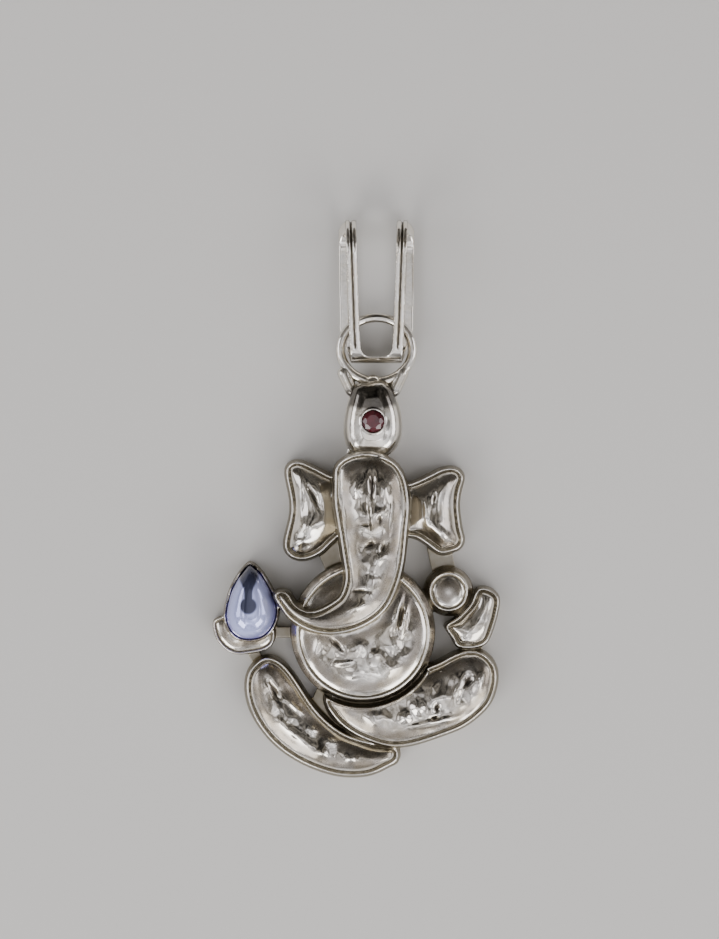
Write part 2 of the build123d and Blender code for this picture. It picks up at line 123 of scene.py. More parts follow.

# A listed mark: its middle, which way it runs in degrees, its reach along and aside, and its
# lift, all in millimetres. A crease lifts by less than nothing, and a spot's lift is how dark it is.
Mark = namedtuple("Mark", "x y turn long wide lift")
MARKS = [
    # Head and trunk
    Mark(-0.56, 11.45, 90, 0.62, 0.44, 0.27),
    Mark(1.80, 11.55, 80, 0.66, 0.38, 0.27),
    Mark(0.71, 11.60, 90, 1.00, 0.22, -0.28),
    Mark(0.55, 9.00, 95, 1.50, 0.13, -0.16),
    Mark(1.35, 9.10, 80, 0.30, 0.18, -0.18),
    Mark(0.20, 8.60, 0, 0.35, 0.13, -0.14),
    Mark(0.60, 7.05, 20, 0.45, 0.20, -0.22),
    Mark(1.60, 6.80, 70, 0.50, 0.20, -0.20),
    Mark(1.30, 5.90, 60, 0.45, 0.30, 0.20),
    Mark(-0.20, 3.40, 0, 0.50, 0.13, -0.14),
    Mark(-0.50, 2.00, 20, 0.70, 0.30, 0.16),
    Mark(-1.55, 9.50, 100, 1.00, 0.13, 0.13),
    Mark(2.20, 9.20, 85, 1.20, 0.13, 0.11),
    # Ears
    Mark(-4.00, 10.90, -63, 1.10, 0.17, -0.24),
    Mark(-3.45, 11.30, -60, 0.70, 0.35, 0.22),
    Mark(-4.52, 8.50, 0, 0.75, 0.70, 0.30),
    Mark(-4.90, 7.25, 10, 0.70, 0.30, 0.16),
    Mark(-5.00, 10.50, 90, 1.00, 0.19, 0.16),
    Mark(6.05, 8.00, -43, 1.10, 0.42, 0.30),
    Mark(5.68, 10.70, 83, 0.50, 0.13, -0.18),
    Mark(5.10, 9.60, 92, 1.10, 0.22, 0.13),
    # Belly
    Mark(1.00, -3.10, 5, 1.60, 0.85, 0.15),
    Mark(2.70, 1.70, 75, 1.00, 0.20, 0.20),
    Mark(3.30, 0.90, 80, 1.10, 0.20, 0.20),
    Mark(3.00, 1.30, 78, 1.00, 0.13, -0.18),
    Mark(-2.10, -0.90, -45, 0.60, 0.16, -0.20),
    Mark(-3.70, -1.10, 80, 0.70, 0.25, 0.16),
    Mark(-1.50, -2.40, 10, 0.80, 0.20, 0.16),
    # Right leg
    Mark(4.40, -6.00, 0, 0.55, 0.50, 0.26),
    Mark(3.45, -6.80, 0, 0.40, 0.40, 0.22),
    Mark(5.90, -6.00, 80, 0.30, 0.20, -0.30),
    Mark(5.70, -6.85, 0, 0.35, 0.16, -0.27),
    Mark(5.50, -7.20, 12, 1.90, 0.25, 0.20),
    Mark(8.35, -3.90, 60, 0.50, 0.35, -0.28),
    Mark(9.45, -3.70, 80, 0.60, 0.20, 0.20),
    Mark(7.50, -4.70, 75, 0.70, 0.25, 0.22),
    # Left leg
    Mark(-5.45, -6.00, -45, 0.90, 0.20, 0.22),
    Mark(-5.60, -8.00, -40, 1.30, 0.30, 0.22),
    Mark(-7.15, -4.60, -62, 0.80, 0.20, -0.25),
    Mark(-4.10, -7.80, -50, 0.45, 0.30, 0.22),
    Mark(-2.50, -8.80, -20, 0.50, 0.30, 0.22),
    Mark(-3.20, -9.70, -20, 0.40, 0.25, 0.20),
    Mark(-0.96, -10.10, 0, 0.40, 0.25, 0.20),
    # Hand
    Mark(7.86, 1.00, 30, 0.55, 0.42, 0.32),
    Mark(7.50, -0.45, 0, 0.22, 0.20, -0.30),
    Mark(8.10, -0.75, -10, 0.70, 0.22, 0.26),
]

# Painted dark reflections on the crown's silver: its cap, below the ring, and spots beside the stone
CROWN_PAINTED_REFLECTIONS = [
    Mark(0.60, 18.75, 0, 2.60, 0.98, 0.86),
    Mark(1.96, 16.50, 82, 0.50, 0.20, 0.65),
    Mark(1.75, 15.60, 60, 0.30, 0.16, 0.45),
    Mark(-0.95, 16.30, 95, 0.45, 0.13, 0.40),
]

# A soft box of the studio: where it stands and its sides, in metres, its power and its tint
Softbox = namedtuple("Softbox", "name place sides watts tint")
SOFTBOXES = [
    Softbox("front_right", (0.28, -0.33, 0.25), (0.30, 0.20), 0.95, (1.0, 0.98, 0.95)),
    Softbox("front_left", (-0.28, -0.33, 0.25), (0.30, 0.20), 1.05, (1.0, 0.98, 0.96)),
    Softbox("left", (-0.43, 0.05, 0.25), (0.30, 0.20), 0.50, (0.96, 0.96, 1.0)),
    Softbox("right", (0.43, 0.05, 0.25), (0.30, 0.20), 0.48, (0.98, 0.96, 1.0)),
]

# A place on the room's dome, as the slope of a mirror that would show it: its middle, its reach, how
# soft its edge is and how much light it adds, or takes from what is there
Glow = namedtuple("Glow", "x y reach_x reach_y soft light")
GLOWS = [
    Glow(0.0, -0.01, 0.07, 0.05, 0.4, 0.55),
    Glow(0.05, -0.28, 0.20, 0.14, 0.5, 0.70),
    Glow(-0.36, 0.02, 0.10, 0.24, 0.5, 0.10),
    Glow(0.36, 0.0, 0.10, 0.24, 0.5, 0.08),
    Glow(-0.15, 0.16, 0.05, 0.07, 0.4, 1.0),
    Glow(0.16, 0.15, 0.05, 0.07, 0.4, 0.9),
    Glow(0.10, -0.17, 0.06, 0.04, 0.3, 2.4),
    Glow(-0.20, -0.06, 0.04, 0.06, 0.3, 2.2),
    Glow(0.27, -0.05, 0.03, 0.06, 0.3, 2.2),
    Glow(-0.12, -0.36, 0.07, 0.04, 0.3, 2.2),
]
SHADES = [
    Glow(0.0, 0.17, 0.70, 0.11, 0.3, 0.66),
    Glow(0.0, 0.34, 0.04, 0.22, 0.3, 0.90),
    Glow(0.0, 1.0, 1.3, 0.66, 0.2, 0.60),
    Glow(0.17, 0.0, 0.04, 0.07, 0.3, 0.85),
    Glow(-0.11, 0.03, 0.03, 0.04, 0.3, 0.80),
    Glow(-0.02, -0.13, 0.05, 0.025, 0.3, 0.75),
]


class FigureLook(bpy.types.PropertyGroup):
    """Sizes and colours of the cast figure."""

    grid: FloatProperty(
        name="Grid", description="Spacing of the fine skin that carries the relief",
        default=0.00006, min=0.00003, unit="LENGTH", precision=6,
    )
    waves: FloatProperty(
        name="Waves", description="Depth of the broad waves in the fields",
        default=0.0002, unit="LENGTH", precision=6,
    )
    wave_size: FloatProperty(
        name="Wave size", description="Width of a broad wave", default=0.0024, unit="LENGTH", precision=6,
    )
    dents: FloatProperty(
        name="Dents", description="Depth of the hammered dents in the fields",
        default=0.00022, unit="LENGTH", precision=6,
    )
    dent_size: FloatProperty(
        name="Dent size", description="Width of a dent", default=0.0011, unit="LENGTH", precision=6,
    )
    cells: FloatProperty(
        name="Cells", description="Depth of the sharp-edged hammer marks between the dents",
        default=0.00003, unit="LENGTH", precision=6,
    )
    cell_size: FloatProperty(
        name="Cell size", description="Width of a hammer mark", default=0.0013, unit="LENGTH", precision=6,
    )
    nicks: FloatProperty(
        name="Nicks", description="Depth of the small dents between the broad ones",
        default=0.00004, unit="LENGTH", precision=6,
    )
    nick_size: FloatProperty(
        name="Nick size", description="Width of a small dent",
        default=0.00042, unit="LENGTH", precision=6,
    )
    gap_start: FloatProperty(
        name="Gap start", description="From the belly's middle to the gap above the right leg",
        default=0.00535, unit="LENGTH", precision=6,
    )
    gap_end: FloatProperty(
        name="Gap end", description="From the belly's middle to the right leg's own rim",
        default=0.00592, unit="LENGTH", precision=6,
    )
    # How much painted shade darkens the flat plate between the forms
    plate: FloatProperty(
        name="Plate", description="How dull the flat plate between the forms is", default=0.55, min=0, max=1,
    )
    triangles: IntProperty(
        name="Triangles", description="Most triangles in the finished figure", default=186000,
    )
    silver: FloatVectorProperty(
        name="Silver", description="Polished silver", subtype="COLOR", size=3,
        default=(0.95, 0.92, 0.87), min=0, max=1,
    )
    warm_silver: FloatVectorProperty(
        name="Warm silver", description="Silver where it has yellowed a little", subtype="COLOR", size=3,
        default=(0.93, 0.87, 0.76), min=0, max=1,
    )
    field_silver: FloatVectorProperty(
        name="Field silver", description="Duller silver of the hammered fields", subtype="COLOR", size=3,
        default=(0.34, 0.31, 0.275), min=0, max=1,
    )
    warm_field: FloatVectorProperty(
        name="Warm field", description="Fields where they have yellowed a little", subtype="COLOR", size=3,
        default=(0.31, 0.27, 0.215), min=0, max=1,
    )
    # Near black for painted shade in the creases, the bail's groove and foot corners, and for the crown's
    # painted dark reflections
    crease_shade: FloatVectorProperty(
        name="Crease", description="Nearly black silver in the creases", subtype="COLOR", size=3,
        default=(0.05, 0.042, 0.034), min=0, max=1,
    )
    # Tarnish in the grooves, and painted shade on the walls and on the plate around the forms
    tarnish_and_shade: FloatVectorProperty(
        name="Tarnish", description="Dull silver in the grooves and on the walls", subtype="COLOR", size=3,
        default=(0.26, 0.23, 0.17), min=0, max=1,
    )


class BailLook(bpy.types.PropertyGroup):
    """Sizes and colours of the bail."""

    grid: FloatProperty(
        name="Grid", description="Spacing of the fine skin of the strip",
        default=0.00005, min=0.00003, unit="LENGTH", precision=6,
    )
    groove: FloatProperty(
        name="Groove", description="Depth of the groove along each leg",
        default=0.00014, unit="LENGTH", precision=6,
    )
    groove_width: FloatProperty(
        name="Groove width", description="Width of the groove along each leg",
        default=0.00024, unit="LENGTH", precision=6,
    )
    leg: FloatProperty(
        name="Leg", description="Width of one leg of the strip", default=0.00085, unit="LENGTH", precision=6,
    )
    foot: FloatProperty(
        name="Foot", description="Width of the strip across its foot", default=0.0041, unit="LENGTH",
        precision=6,
    )
    knee: FloatProperty(
        name="Knee", description="Height of the knee above the foot", default=0.0027, unit="LENGTH",
        precision=6,
    )
    back_knee: FloatProperty(
        name="Back knee", description="Width across the knee at the back", default=0.0059, unit="LENGTH",
        precision=6,
    )
    front_knee: FloatProperty(
        name="Front knee", description="Width across the knee at the front", default=0.0044, unit="LENGTH",
        precision=6,
    )
    front_arch: FloatProperty(
        name="Front arch", description="Width across the arch at the front", default=0.005, unit="LENGTH",
        precision=6,
    )
    front_depth: FloatProperty(
        name="Front depth", description="Height of the front over the back, at which its width begins",
        default=0.00185, unit="LENGTH", precision=6,
    )
    strip: FloatProperty(
        name="Strip", description="Thickness of the strip", default=0.00075, unit="LENGTH", precision=6,
    )
    triangles: IntProperty(
        name="Triangles", description="Most triangles in the finished bail", default=60000,
    )


class SweetLook(bpy.types.PropertyGroup):
    """Sizes and colours of the violet sweet."""

    grid: FloatProperty(
        name="Grid", description="Spacing of the fine skin of the sweet",
        default=0.00005, min=0.00003, unit="LENGTH", precision=6,
    )
    triangles: IntProperty(
        name="Triangles", description="Most triangles in the finished sweet", default=24000,
    )
    violet: FloatVectorProperty(
        name="Violet", description="Body of the glaze near its foot", subtype="COLOR", size=3,
        default=(0.17, 0.14, 0.72), min=0, max=1,
    )
    # Colour of the painted dark reflection on the sweet
    reflection_navy: FloatVectorProperty(
        name="Navy", description="Deep heart of the glaze", subtype="COLOR", size=3,
        default=(0.004, 0.006, 0.018), min=0, max=1,
    )
    # Middle and radius of the painted dark reflection
    dark_reflection: FloatVectorProperty(
        name="Heart", description="Middle of the deep heart, seen from above", size=2,
        default=(-0.00912, 0.00216), unit="LENGTH", precision=6,
    )
    dark_reflection_reach: FloatProperty(
        name="Heart reach", description="Radius of the deep heart",
        default=0.00066, unit="LENGTH", precision=6,
    )
    # Paler lilac painted over the sweet's top as a sheen
    sheen_lilac: FloatVectorProperty(
        name="Lilac", description="Paler glaze over its top", subtype="COLOR", size=3,
        default=(0.54, 0.59, 1.0), min=0, max=1,
    )


class StoneLook(bpy.types.PropertyGroup):
    """Colours of the crown's stone."""

    red: FloatVectorProperty(
        name="Red", description="Body of the stone", subtype="COLOR", size=3,
        default=(0.10, 0.008, 0.016), min=0, max=1,
    )
    deep_red: FloatVectorProperty(
        name="Deep red", description="Darker cloud in the stone", subtype="COLOR", size=3,
        default=(0.05, 0.004, 0.009), min=0, max=1,
    )


class StageLook(bpy.types.PropertyGroup):
    """The floor, the light and the camera."""

    floor: FloatVectorProperty(
        name="Floor", description="Colour of the pale floor", subtype="COLOR", size=3,
        default=(0.76, 0.75, 0.73), min=0, max=1,
    )
    floor_gap: FloatProperty(
        name="Floor gap", description="From the floor up to the flat back", default=0.00002, unit="LENGTH",
        precision=6,
    )
    camera_height: FloatProperty(
        name="Camera height", description="From the floor up to the camera", default=0.34, unit="LENGTH",
    )
    view_height: FloatProperty(
        name="View height", description="Height of the picture at the pendant", default=0.0751, unit="LENGTH",
    )
    view_middle: FloatVectorProperty(
        name="View middle", description="Middle of the picture, on the floor", size=2,
        default=(-0.00028, 0.013), unit="LENGTH", precision=5,
    )
    power: FloatProperty(name="Power", description="Strength of all the soft boxes", default=1.0)


class Wire:
    """An output of the node tree that can be used in sums."""

    def __init__(self, finish, socket):
        self.finish = finish
        self.socket = socket

    def sum(self, operation, *values):
        settings = {"operation": operation}
        return self.finish.out(self.finish.node("ShaderNodeMath", settings, dict(enumerate(values))))

    def __add__(self, other):
        return self.sum("ADD", self, other)

    def __radd__(self, other):
        return self.sum("ADD", other, self)

    def __sub__(self, other):
        return self.sum("SUBTRACT", self, other)

    def __rsub__(self, other):
        return self.sum("SUBTRACT", other, self)

    def __mul__(self, other):
        return self.sum("MULTIPLY", self, other)

    def __rmul__(self, other):
        return self.sum("MULTIPLY", other, self)

    def __truediv__(self, other):
        return self.sum("DIVIDE", self, other)

    def __pow__(self, other):
        return self.sum("POWER", self, other)

    def larger(self, other):
        return self.sum("MAXIMUM", self, other)


class Finish:
    """The nodes of one material, or of the room."""

    def __init__(self, owner):
        self.owner = owner
        owner.use_nodes = True
        self.tree = owner.node_tree
        self.tree.nodes.clear()

    def node(self, kind, settings=None, sockets=None):
        """A node with its settings, set first, and then the values or links of its sockets."""
        made = self.tree.nodes.new(kind)
        for name, value in (settings or {}).items():
            setattr(made, name, value)
        named = {socket.name: socket for socket in made.inputs if socket.enabled}
        for name, value in (sockets or {}).items():
            socket = made.inputs[name] if isinstance(name, int) else named[name]
            if isinstance(value, Wire):
                self.tree.links.new(value.socket, socket)
            else:
                socket.default_value = value
        return made

    def out(self, node, name=None):
        """A wire from a node's named output, or from its first one."""
        for socket in node.outputs:
            if socket.enabled and name in (None, socket.name):
                return Wire(self, socket)
        raise KeyError(name)

    def place(self):
        """Where a point lies on its piece."""
        return self.out(self.node("ShaderNodeTexCoord"), "Object")

    def parts(self, vector):
        """The three numbers of a vector."""
        split = self.node("ShaderNodeSeparateXYZ", {}, {"Vector": vector})
        return [self.out(split, axis) for axis in "XYZ"]

    def noise(self, size, detail=3.0, roughness=0.5, stretch=(1, 1, 1)):
        """Cloudy values from 0 to 1, in lumps of a size in metres."""
        turned = self.node("ShaderNodeMapping", {}, {"Vector": self.place(), "Scale": stretch})
        cloud = self.node("ShaderNodeTexNoise", {}, {
            "Vector": self.out(turned), "Scale": 1 / size, "Detail": detail, "Roughness": roughness,
        })
        return self.out(cloud)

    def ramp(self, wire, low, high, start=0.0, end=1.0):
        """A wire rescaled with soft ends."""
        return self.out(self.node("ShaderNodeMapRange", {"interpolation_type": "SMOOTHSTEP"}, {
            "Value": wire, "From Min": low, "From Max": high, "To Min": start, "To Max": end,
        }))

    def attribute(self, name):
        """A value that the mesh holds for each of its points."""
        return self.out(self.node("ShaderNodeAttribute", {"attribute_name": name}), "Fac")

    def blend(self, share, first, second):
        """A colour between two colours."""
        colours = [value if isinstance(value, Wire) else (*value, 1.0) for value in (first, second)]
        return self.out(self.node("ShaderNodeMix", {"data_type": "RGBA"}, {
            "Factor": share, "A": colours[0], "B": colours[1],
        }))

    def spot(self, mark):
        """A soft painted dark spot at a mark, on all that lies above the plate."""
        x, y, height = self.parts(self.place())
        along, aside = shares(mark, x, y, MM)
        above_plate = self.ramp(height, 0.0012, 0.0016)
        return self.ramp(along ** 2 + aside ** 2, 0.6, 1.3, mark.lift, 0.0) * above_plate

    def bump(self, height, depth, strength=1.0, normal=None):
        """A normal that follows a fine relief, over an earlier one if there is one."""
        sockets = {"Height": height, "Distance": depth, "Strength": strength}
        if normal is not None:
            sockets["Normal"] = normal
        return self.out(self.node("ShaderNodeBump", {}, sockets))

    def surface(self, **sockets):
        """The finished surface, with its sockets by name."""
        spaced = {name.replace("_", " "): value for name, value in sockets.items()}
        shader = self.node("ShaderNodeBsdfPrincipled", {}, spaced)
        self.node("ShaderNodeOutputMaterial", {}, {"Surface": self.out(shader)})
        return self.owner


def silver_finish(name, look, gloss=0.13, spots=()):
    """Polished silver, tarnished in its grooves, with painted shade on its walls and around its forms, near
    black painted shade in its creases and painted dark reflections at its spots, with fine scratches and a
    little haze.
    """
    finish = Finish(bpy.data.materials.new(name))
    tarnish_and_shade_mask = finish.attribute("tarnish_and_shade_mask")
    cloud = finish.noise(size=0.0016, detail=4.0, roughness=0.6)
    haze = finish.noise(size=0.00045, roughness=0.6)
    scratch = finish.noise(size=0.00007, detail=2.0, stretch=(1.0, 0.18, 1.0))
    # Tarnish in the grooves with painted shade on the walls and around the forms; the same share also
    # roughens them
    dull = finish.ramp(tarnish_and_shade_mask * (0.8 + 0.4 * cloud), 0.1, 0.7)
    warmth = finish.ramp(cloud, 0.38, 0.68)
    polished = finish.blend(warmth, tuple(look.silver), tuple(look.warm_silver))
    hammered = finish.blend(warmth, tuple(look.field_silver), tuple(look.warm_field))
    # The field share darkens the hammered silver; its lumps are left bright as wear polish and as painted
    # highlights
    field = finish.attribute("field")
    clean = finish.blend(field, polished, hammered)
    shaded_and_tarnished = finish.blend(dull, clean, tuple(look.tarnish_and_shade))
    # Near black painted shade in the creases and grooves, with the crown's painted dark reflections laid over
    # it
    crease_shade = finish.attribute("crease_shade")
    for mark in spots:
        crease_shade = crease_shade.larger(finish.spot(mark))
    colour = finish.blend(crease_shade, shaded_and_tarnished, tuple(look.crease_shade))
    hazy = finish.ramp(haze, 0.45, 0.8)
    satin = finish.ramp(field, 0.5, 0.95)
    rough = gloss + 0.10 * hazy + 0.25 * dull + 0.14 * satin
    ripple = finish.bump(haze, depth=0.000010, strength=0.5)
    normal = finish.bump(scratch, depth=0.000003, strength=0.3, normal=ripple)
    return finish.surface(Base_Color=colour, Metallic=1.0, Roughness=rough, Normal=normal)


def glaze_finish(look, foot, top):
    """Glossy violet-blue glaze, deeper in colour towards its foot and painted paler towards its top as a
    sheen, with a painted dark reflection over its heart, under a clear coat.
    """
    finish = Finish(bpy.data.materials.new("violet_glaze"))
    streak = finish.noise(size=0.0011, roughness=0.55, stretch=(1.0, 0.5, 1.0))
    fleck = finish.noise(size=0.0002, detail=2.0)
    x, y, height = finish.parts(finish.place())
    # Painted sheen: the glaze turns from violet at its foot to paler lilac towards its top, standing in for
    # reflected light
    pale = finish.ramp(height + 0.0009 * streak, foot + 0.35 * (top - foot), foot + 0.95 * (top - foot))
    shell_with_sheen = finish.blend(pale, tuple(look.violet), tuple(look.sheen_lilac))
    # The painted dark reflection is a round spot with a stem above it that widens upwards, like a keyhole
    reach = look.dark_reflection_reach
    beside = (x - look.dark_reflection[0]) ** 2
    above = y - look.dark_reflection[1]
    dark_reflection = finish.ramp(beside + above ** 2, (0.85 * reach) ** 2, (1.15 * reach) ** 2, 1, 0)
    half_width = finish.ramp(above, 1.6 * reach, 3.6 * reach, 0.5, 1.2) * reach
    stem = finish.ramp(beside / half_width ** 2, 0.6, 1.4, 1, 0) * finish.ramp(above, 0.0, 0.0002)
    colour = finish.blend(0.92 * dark_reflection.larger(stem), shell_with_sheen, tuple(look.reflection_navy))
    return finish.surface(
        Base_Color=colour, Metallic=0.4, Roughness=0.07 + 0.06 * fleck, Coat_Weight=0.12, Coat_Roughness=0.03,
        Normal=finish.bump(streak, depth=0.00004, strength=0.4),
    )


def stone_finish(look):
    """Dark red stone with a faint cloud in it."""
    finish = Finish(bpy.data.materials.new("red_stone"))
    cloud = finish.noise(size=0.0005, detail=2.0)
    colour = finish.blend(finish.ramp(cloud, 0.3, 0.75), tuple(look.red), tuple(look.deep_red))
    return finish.surface(Base_Color=colour, Roughness=0.08 + 0.05 * cloud, IOR=1.76)


def floor_finish(look):
    """Plain pale board with a very faint tooth."""
    finish = Finish(bpy.data.materials.new("pale_floor"))
    tooth = finish.noise(size=0.0012, roughness=0.6)
    cloud = finish.noise(size=0.09, detail=2.0)
    colour = finish.blend(cloud, tuple(look.floor), tuple(part * 0.97 for part in look.floor))
    return finish.surface(
        Base_Color=colour, Roughness=0.62 + 0.08 * tooth, Specular_IOR_Level=0.3,
        Normal=finish.bump(tooth, depth=0.00003, strength=0.3),
    )


def deselect():
    """Object mode, with nothing selected."""
    if bpy.context.object is not None and bpy.context.object.mode != "OBJECT":
        bpy.ops.object.mode_set(mode="OBJECT")
    bpy.ops.object.select_all(action="DESELECT")


def choose(piece):
    """Only this piece selected, and active."""
    deselect()
    piece.select_set(True)
    bpy.context.view_layer.objects.active = piece


def copy_of(node, name):
    """A merged copy of a CAD node, in millimetres so that fine steps keep their precision."""
    choose(frame["nodes"][node])
    bpy.ops.object.duplicate(linked=False)
    piece = bpy.context.object
    bpy.ops.object.parent_clear(type="CLEAR_KEEP_TRANSFORM")
    for key in list(piece.keys()):
        del piece[key]
    piece.name = name
    piece.data.name = name
    piece.data.materials.clear()
    resize(piece, 1 / MM)
    bpy.ops.object.mode_set(mode="EDIT")
    bpy.ops.mesh.select_all(action="SELECT")
    bpy.ops.mesh.remove_doubles(threshold=0.002)
    bpy.ops.object.mode_set(mode="OBJECT")
    return piece


def resize(piece, share):
    """The mesh made larger or smaller about the origin."""
    choose(piece)
    bpy.ops.object.mode_set(mode="EDIT")
    bpy.ops.mesh.select_all(action="SELECT")
    bpy.ops.transform.resize(value=(share, share, share), center_override=(0, 0, 0))
    bpy.ops.object.mode_set(mode="OBJECT")


def apply(piece, kind, **settings):
    """A modifier added with its settings and applied."""
    choose(piece)
    modifier = piece.modifiers.new(kind.lower(), kind)
    for name, value in settings.items():
        setattr(modifier, name, value)
    bpy.ops.object.modifier_apply(modifier=modifier.name)


def reskin(piece, grid):
    """A fine skin of even squares in place of the mesh."""
    apply(piece, "REMESH", mode="VOXEL", voxel_size=grid / MM, adaptivity=0.0)


def soften(piece, rounds, group=""):
    """The mesh smoothed, where the group says or all over."""
    apply(piece, "SMOOTH", factor=0.5, iterations=rounds, vertex_group=group)


def thin(piece, triangles):
    """The mesh brought down to about this many triangles, and its groups let go."""
    share = triangles / (2 * len(piece.data.polygons))
    apply(piece, "DECIMATE", decimate_type="COLLAPSE", ratio=min(1, share), use_collapse_triangulate=True)
    piece.vertex_groups.clear()


def even(piece):
    """Smooth shading in which the large flat faces stay flat."""
    choose(piece)
    bpy.ops.object.shade_smooth()
    apply(piece, "WEIGHTED_NORMAL", mode="FACE_AREA", weight=50)


def points_of(piece):
    """Places and normals of a mesh's points."""
    count = len(piece.data.vertices)
    places = np.empty(count * 3, np.float32)
    normals = np.empty(count * 3, np.float32)
    piece.data.vertices.foreach_get("co", places)
    piece.data.vertex_normals.foreach_get("vector", normals)
    return places.reshape(-1, 3), normals.reshape(-1, 3)


def step(values, low, high):
    """0 below low, 1 above high and smooth between."""
    share = np.clip((values - low) / (high - low), 0, 1)
    return share * share * (3 - 2 * share)


def weigh(piece, name, weights, levels=40):
    """A vertex group with these weights, in this many levels."""
    group = piece.vertex_groups.new(name=name)
    steps = np.round(weights * levels).astype(int)
    used = np.nonzero(steps > 0)[0]
    for level in np.unique(steps[used]).tolist():
        group.add(used[steps[used] == level].tolist(), level / levels, "REPLACE")
    return group.name


def lift_by(piece, name, weights, height, levels=40):
    """The mesh lifted by a height in millimetres, in full where the weight is 1."""
    group = weigh(piece, name, weights, levels)
    apply(piece, "DISPLACE", direction="Z", strength=height, mid_level=0.0, vertex_group=group)


def within(patch, places):
    """How much each place belongs to a patch."""
    across = (places[:, 0] - patch.x) / patch.reach_x
    up = (places[:, 1] - patch.y) / patch.reach_y
    return 1 - step(np.hypot(across, up), 0.85, 1.15)


def shares(mark, x, y, unit=1):
    """How far a place lies from a mark's middle, along it and aside, as shares of its reach."""
    turn = math.radians(mark.turn)
    across, up = x - mark.x * unit, y - mark.y * unit
    along = (across * math.cos(turn) + up * math.sin(turn)) / (mark.long * unit)
    aside = (up * math.cos(turn) - across * math.sin(turn)) / (mark.wide * unit)
    return along, aside


def marked(places):
    """How far the listed lumps and creases lift each place."""
    lift = np.zeros(len(places))
    for mark in MARKS:
        along, aside = shares(mark, places[:, 0], places[:, 1])
        lift += mark.lift * np.exp(-along**2 - aside**2)
    return lift


def relief_texture(name, kind, size):
    """A soft relief with lumps of a size in millimetres: cloudy, or hammered in cells."""
    texture = bpy.data.textures.new(name, kind)
    texture.noise_scale = size
    if kind == "CLOUDS":
        texture.noise_basis = "ORIGINAL_PERLIN"
        texture.noise_depth = 0
        texture.contrast = 1.3
    return texture


def store(piece, name, values):
    """A value for each point of the mesh, for the materials to read."""
    attribute = piece.data.attributes.new(name, "FLOAT", "POINT")
    attribute.data.foreach_set("value", values.astype(np.float32))


def recesses(piece, reach, walls):
    """How deep each point lies in a groove, from 0 to 1, or how much it is a wall."""
    mesh = piece.data
    places, normals = points_of(piece)
    edges = np.empty(len(mesh.edges) * 2, np.int32)
    mesh.edges.foreach_get("vertices", edges)
    first, second = edges.reshape(-1, 2).T
    run = places[second] - places[first]
    hair = 1e-9
    length = np.linalg.norm(run, axis=1) + hair
    count = np.bincount(first, minlength=len(places)) + np.bincount(second, minlength=len(places))
    bend = np.bincount(first, np.einsum("ij,ij->i", normals[first], run) / length**2, len(places))
    bend -= np.bincount(second, np.einsum("ij,ij->i", normals[second], run) / length**2, len(places))
    bend /= np.maximum(count, 1)
    for _ in range(reach):
        spread = np.bincount(first, bend[second], len(places)) + np.bincount(second, bend[first], len(places))
        bend = 0.5 * bend + 0.5 * spread / np.maximum(count, 1)
    groove = step(bend, 0.1, 1.6)
    not_below = step(normals[:, 2], -0.4, -0.1)
    return np.maximum(groove, walls * not_below)


def groove_spots(piece):
    """Spots along the foot of every raised field and rim, seen from above."""
    lowest, hair, spacing = 1.0, 1e-4, 0.08
    level, sloping = 0.9999, 0.99
    shape = bmesh.new()
    shape.from_mesh(piece.data)
    shape.faces.ensure_lookup_table()
    spots = []
    for edge in shape.edges:
        if len(edge.link_faces) != 2 or edge.verts[0].co.z < lowest:
            continue
        for flat, other in (edge.link_faces, reversed(edge.link_faces)):
            if flat.normal.z > level and other.normal.z < sloping:
                if other.calc_center_median().z > edge.verts[0].co.z + hair:
                    start, end = (vert.co for vert in edge.verts)
                    count = max(1, int((end - start).length / spacing))
                    spots += [start.lerp(end, index / count) for index in range(count)]
    shape.free()
    return spots


